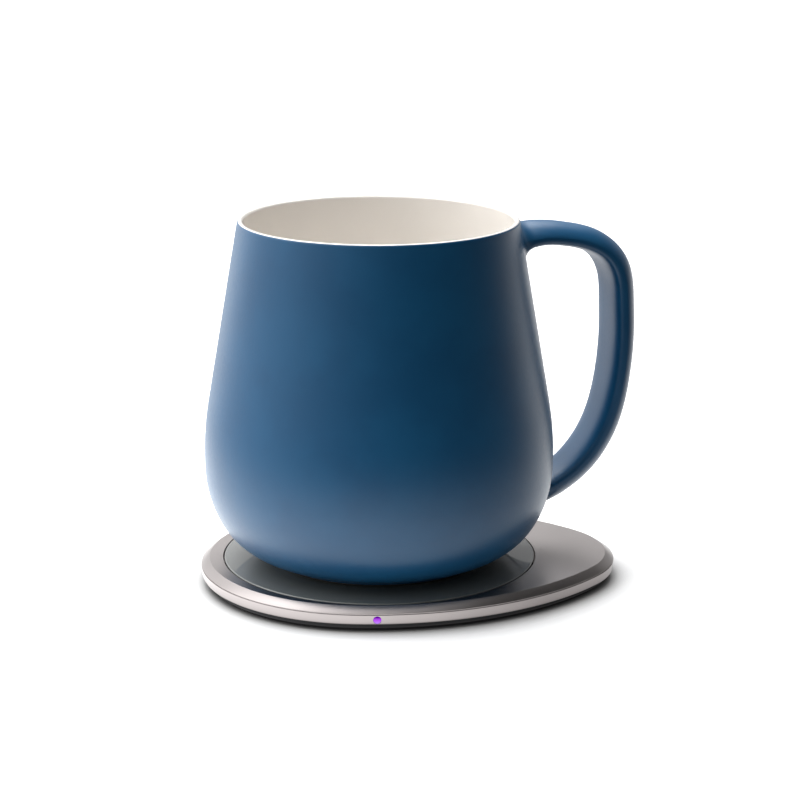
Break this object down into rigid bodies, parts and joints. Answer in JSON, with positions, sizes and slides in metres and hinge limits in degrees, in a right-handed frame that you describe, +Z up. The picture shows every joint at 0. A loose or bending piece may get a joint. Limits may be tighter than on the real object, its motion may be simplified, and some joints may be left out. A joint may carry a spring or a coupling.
{
  "type": "self heating mug",
  "caption": "Ceramic mug with a C-shaped handle and a heater in its base, standing on a slim egg-shaped wireless charging pad with a round glass top and an indicator light.",
  "frame": {"origin": "on the table plane, under the mug's axis, at the centre of the pad's round glass disc", "axes": "+Z up along the mug's axis, +X towards the mug's handle"},
  "size_m": [0.1248, 0.096, 0.1014],
  "materials": {
    "cup_glaze": "matt blue glaze outside, warm white gloss glaze inside",
    "silicone": "smooth dark silicone",
    "black_plastic": "fine matt moulding",
    "copper_winding": "enamelled winding",
    "ferrite": "sintered, dark grey",
    "board": "solder mask",
    "chip": "moulded chip package",
    "capacitor": "fired, tan",
    "heater_print": "printed resistance track",
    "foam": "fine white insulating fibre",
    "sensor": "epoxy bead",
    "anodised": "bead blasted, warm grey anodised",
    "disc_glass": "dark backed tempered glass",
    "adhesive": "bonding tape",
    "film": "amber film",
    "steel": "plated steel",
    "light": "lit violet"
  },
  "bodies": {
    "pad": {"pad_shell": "anodised", "glass_disc": "disc_glass", "glass_adhesive": "adhesive", "coil_tray": "black_plastic", "transmitter_ferrite": "ferrite", "transmitter_coil": "copper_winding", "surface_sensor": "sensor", "pad_coil_leads": "copper_winding", "board_film": "film", "pad_board": "board", "driver_chip": "chip", "pad_control_chip": "chip", "pad_inductor": "chip", "pad_capacitors": "capacitor", "usb_c_socket": "steel", "light_pipe": "light", "led_ribbon": "film", "status_led": "light", "base_plate": "black_plastic", "plate_screws": "steel", "rubber_sole": "silicone"},
    "mug": {"mug_body": "cup_glaze", "foot_ring": "silicone", "base_cover": "black_plastic", "cover_seal": "silicone", "receiver_coil": "copper_winding", "receiver_ferrite": "ferrite", "mug_coil_leads": "copper_winding", "board_carrier": "black_plastic", "mug_board": "board", "rectifier_chip": "chip", "mug_control_chip": "chip", "mug_capacitors": "capacitor", "heater_track": "heater_print", "heater_leads": "copper_winding", "insulation_pad": "foam", "thermistor": "sensor"}
  },
  "joints": [
    {"name": "mug_lift", "type": "slide", "parent": "pad", "child": "mug", "axis": [0, 0, 1], "range_m": [0, 0.12]}
  ]
}
